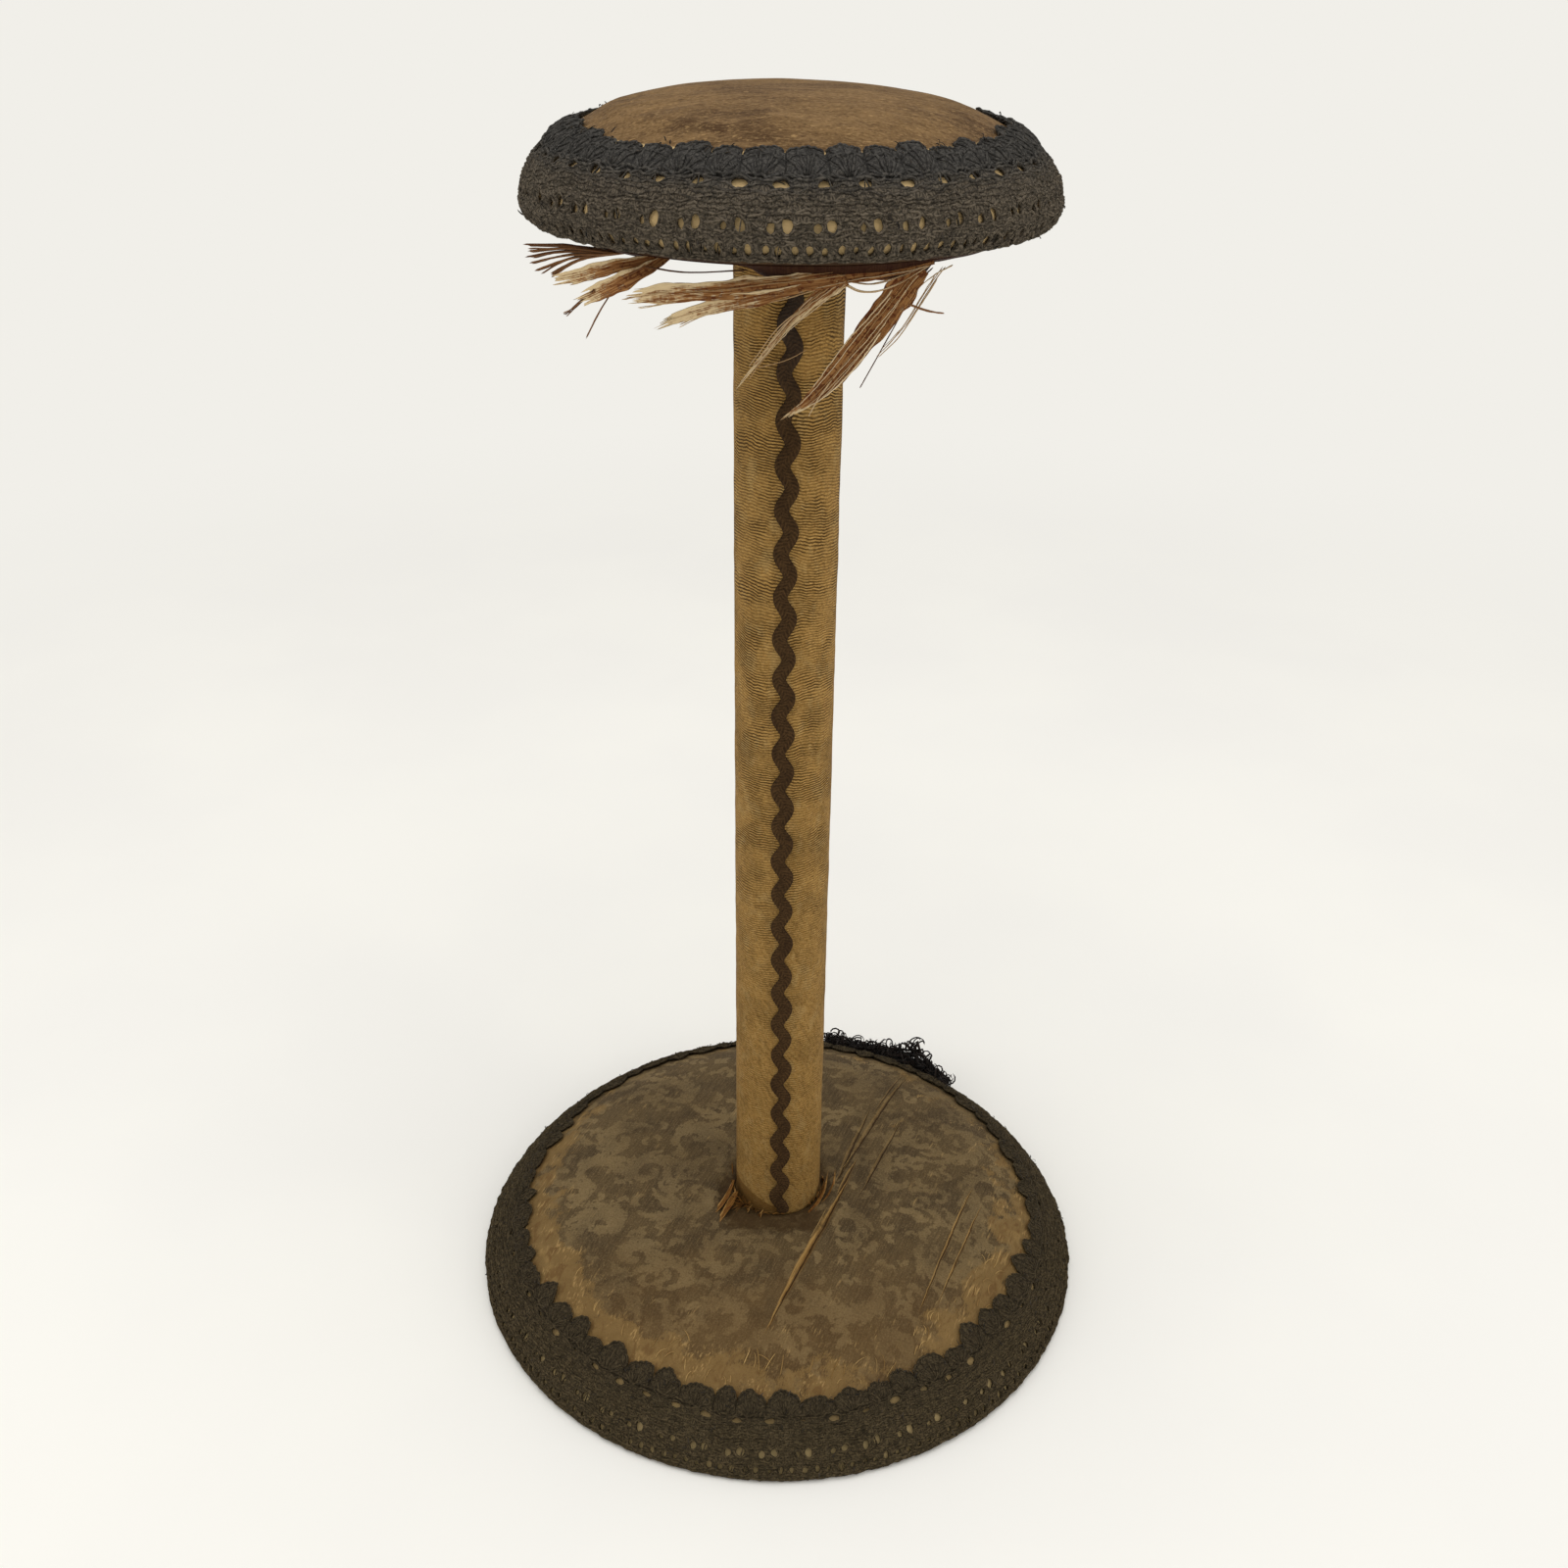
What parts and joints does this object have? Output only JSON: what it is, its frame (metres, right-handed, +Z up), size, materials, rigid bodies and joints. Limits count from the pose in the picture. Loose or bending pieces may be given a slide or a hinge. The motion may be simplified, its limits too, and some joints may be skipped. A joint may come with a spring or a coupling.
{
  "type": "hat stand",
  "caption": "Antique milliner's hat stand: a silk-covered round foot, post and padded top, edged with dark scalloped crochet braid, with a torn lining under the pad.",
  "frame": {"origin": "on the floor at the middle of the foot", "axes": "+Z up along the post, the front with the post's braided seam towards -Y, +X to the right seen from the front"},
  "size_m": [0.1838, 0.1838, 0.336],
  "materials": {
    "wood": "matte",
    "figured_silk": "satin",
    "ribbed_silk": "satin",
    "plain_silk": "satin",
    "crochet": "matte",
    "ricrac": "matte",
    "wadding": "matte",
    "lining_silk": "satin",
    "backing_paper": "matte",
    "steel": "satin",
    "iron": "matte"
  },
  "bodies": {
    "root": {"base_block": "wood", "post_dowel": "wood", "pad_board": "wood", "base_silk": "figured_silk", "post_silk": "ribbed_silk", "pad_silk": "plain_silk", "base_braid": "crochet", "base_braid_tail": "crochet", "pad_braid": "crochet", "post_ricrac": "ricrac", "base_wadding": "wadding", "pad_stuffing": "wadding", "pad_lining": "lining_silk", "lining_band_front": "lining_silk", "lining_strip_right": "lining_silk", "lining_strip_middle": "lining_silk", "lining_strip_left": "lining_silk", "lining_strip_left_lower": "lining_silk", "lining_thread_left": "lining_silk", "lining_tuft_left": "lining_silk", "base_lining": "backing_paper", "base_screw": "steel", "pad_screw": "steel", "base_tack_1": "iron", "base_tack_2": "iron", "base_tack_3": "iron", "base_tack_4": "iron", "base_tack_5": "iron", "base_tack_6": "iron", "pad_tack_1": "iron", "pad_tack_2": "iron", "pad_tack_3": "iron", "pad_tack_4": "iron", "pad_tack_5": "iron", "pad_tack_6": "iron"}
  },
  "joints": []
}
